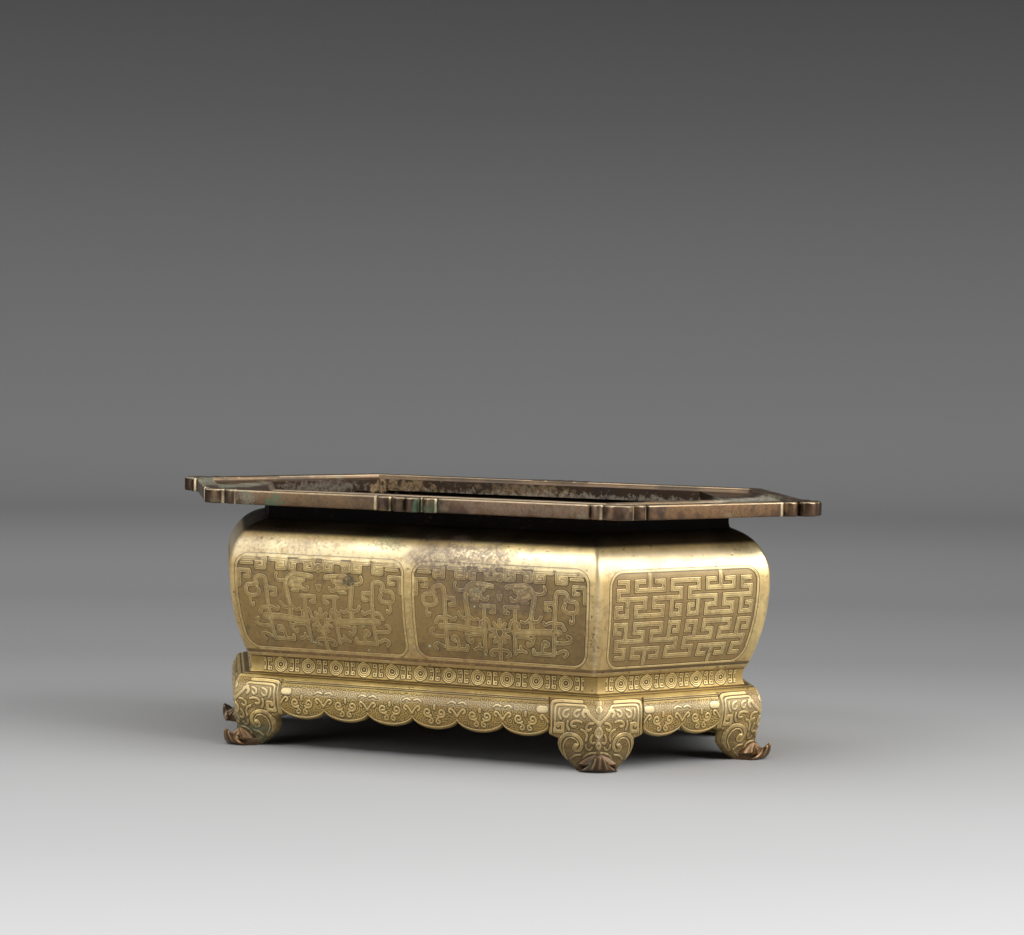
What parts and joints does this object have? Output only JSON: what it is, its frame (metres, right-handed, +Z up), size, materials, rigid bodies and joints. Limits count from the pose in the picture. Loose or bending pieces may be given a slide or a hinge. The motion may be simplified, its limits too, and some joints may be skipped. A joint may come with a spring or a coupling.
{
  "type": "bronze jardiniere",
  "caption": "Low elongated hexagonal bronze planting bowl with a lobed flange rim, scalloped apron and scroll feet.",
  "frame": {"origin": "on the ground under the middle of the bowl, halfway between its ends and its long sides", "axes": "+X along the long sides, +Z up, -Y is the front"},
  "size_m": [0.4782, 0.2666, 0.1726],
  "materials": {
    "rim_bronze": "worn brown patina over copper-coloured bronze, cast",
    "neck_bronze": "dark brown patina, unpolished",
    "body_bronze": "polished golden bronze with darker recesses",
    "base_bronze": "polished golden bronze with darker recesses",
    "foot_bronze": "golden bronze, browner and greener towards the toes",
    "floor_bronze": "dark dull patina"
  },
  "bodies": {
    "root": {"rim_front": "rim_bronze", "rim_right_front": "rim_bronze", "rim_right_back": "rim_bronze", "rim_back": "rim_bronze", "rim_left_back": "rim_bronze", "rim_left_front": "rim_bronze", "neck_wall_front": "neck_bronze", "neck_wall_right_front": "neck_bronze", "neck_wall_right_back": "neck_bronze", "neck_wall_back": "neck_bronze", "neck_wall_left_back": "neck_bronze", "neck_wall_left_front": "neck_bronze", "body_wall_front": "body_bronze", "body_wall_right_front": "body_bronze", "body_wall_right_back": "body_bronze", "body_wall_back": "body_bronze", "body_wall_left_back": "body_bronze", "body_wall_left_front": "body_bronze", "base_moulding_front": "base_bronze", "base_moulding_right_front": "base_bronze", "base_moulding_right_back": "base_bronze", "base_moulding_back": "base_bronze", "base_moulding_left_back": "base_bronze", "base_moulding_left_front": "base_bronze", "apron_front": "base_bronze", "apron_right_front": "base_bronze", "apron_right_back": "base_bronze", "apron_back": "base_bronze", "apron_left_back": "base_bronze", "apron_left_front": "base_bronze", "foot_front_left": "foot_bronze", "foot_front_right": "foot_bronze", "foot_right": "foot_bronze", "foot_back_right": "foot_bronze", "foot_back_left": "foot_bronze", "foot_left": "foot_bronze", "floor_plate": "floor_bronze"}
  },
  "joints": []
}
